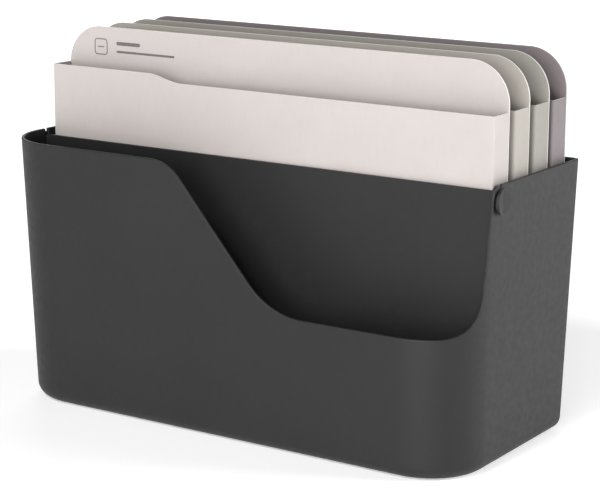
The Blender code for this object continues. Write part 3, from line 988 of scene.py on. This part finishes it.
def printed_ink():
    """Matte grey-brown print, a little uneven."""
    nodes = Nodes("printed_ink")
    patch = nodes.ranged(nodes.noise(700.0, detail=3.0, roughness=0.6), 0.0, 1.0)
    tone = nodes.mix(patch, scaled(INK, 0.9), scaled(INK, 1.2))
    nodes.link(tone, nodes.shader.inputs["Base Color"])
    rough = nodes.ranged(nodes.noise(400.0), 0.55, 0.7)
    nodes.link(rough, nodes.shader.inputs["Roughness"])
    return nodes.material


def pale_floor():
    """A matte, nearly white floor, which glows a little."""
    nodes = Nodes("pale_floor")
    cloud = nodes.ranged(nodes.noise(3.0), 0.0, 1.0)
    tone = nodes.mix(cloud, scaled(WHITE, 0.92), scaled(WHITE, 0.94))
    nodes.link(tone, nodes.shader.inputs["Base Color"])
    nodes.shader.inputs["Roughness"].default_value = 0.85
    nodes.shader.inputs["Emission Color"].default_value = (*WHITE, 1.0)
    away = nodes.add("ShaderNodeVectorMath", operation="LENGTH")
    nodes.link(nodes.place, away.inputs[0])
    glow = nodes.ranged(away.outputs["Value"], GLOW_NEAR, GLOW_FAR, GLOW_START, GLOW_END)
    nodes.link(glow, nodes.shader.inputs["Emission Strength"])
    return nodes.material


# ---- stage, light and camera ----


def make_floor(material):
    shape = bmesh.new()
    bmesh.ops.create_grid(shape, x_segments=STAGE_CELLS, y_segments=STAGE_CELLS, size=STAGE_REACH)
    bmesh.ops.translate(shape, vec=(0.0, 0.0, TRAY_LOW.z), verts=shape.verts)
    mesh = mesh_from("floor", shape)
    mesh.materials.append(material)
    floor = add_object("floor", mesh)


def add_area_light(name, azimuth, elevation, size, power):
    """A square lamp aimed at the middle of the object, its azimuth measured from the front to the right."""
    light = bpy.data.lights.new(name, "AREA")
    light.size = size
    light.energy = power
    lamp = add_object(name, light)
    level = cos(elevation)
    towards = Vector((sin(azimuth) * level, -cos(azimuth) * level, sin(elevation)))
    lamp.location = (CAD_LOW + CAD_HIGH) / 2 + towards * LAMP_DISTANCE
    lamp.visible_camera = False
    lamp.rotation_mode = "QUATERNION"
    lamp.rotation_quaternion = (-towards).to_track_quat("-Z", "Y")


def make_light():
    """Soft lamps round a pale room: a high key in front, a low fill, and one at the rear on each side."""
    world = bpy.data.worlds.new("studio")
    bpy.context.scene.world = world
    world.use_nodes = True
    tree = world.node_tree
    background = tree.nodes["Background"]
    background.inputs["Color"].default_value = (*WHITE, 1.0)
    # The room looks pale, but it adds little light of its own, so that the lamps shape the object.
    seen = tree.nodes.new("ShaderNodeLightPath").outputs["Is Camera Ray"]
    strength = tree.nodes.new("ShaderNodeMapRange")
    strength.inputs["To Min"].default_value = ROOM_LIGHT
    strength.inputs["To Max"].default_value = ROOM_SEEN
    tree.links.new(seen, strength.inputs["Value"])
    tree.links.new(strength.outputs["Result"], background.inputs["Strength"])
    for name, (azimuth, elevation, size, power) in LAMPS.items():
        add_area_light(name, radians(azimuth), radians(elevation), size, power)
    bpy.context.scene.view_settings.view_transform = "Standard"


def make_camera():
    """A camera at the front right and a little above, looking down at the object."""
    camera = bpy.data.cameras.new("camera")
    camera.sensor_width = CAMERA_SENSOR
    camera.lens = CAMERA_LENS
    camera.shift_x = CAMERA_SHIFT_X
    camera.shift_y = CAMERA_SHIFT_Y
    camera.clip_start = CAMERA_NEAR
    camera.clip_end = CAMERA_FAR
    obj = add_object("camera", camera)
    turn = Matrix.Rotation(CAMERA_YAW, 4, "Z") @ Matrix.Rotation(pi / 2 - CAMERA_PITCH, 4, "X")
    turn = turn @ Matrix.Rotation(CAMERA_ROLL, 4, "Z")
    obj.matrix_world = Matrix.Translation(CAMERA_PLACE) @ turn
    bpy.context.scene.camera = obj


def main():
    make_camera()
    charcoal = charcoal_plastic()
    make_tray(charcoal)
    make_divider(charcoal)
    for side in (-1, 1):
        make_head(side, charcoal)
    ink = printed_ink()
    for count, (name, colour) in enumerate(SHEET_COLOURS.items(), 1):
        material = coloured_sheet(name, colour)
        make_pocket(name, material)
        make_panel(name, material)
        make_marks(name, count, ink)
    make_floor(pale_floor())
    make_light()


main()
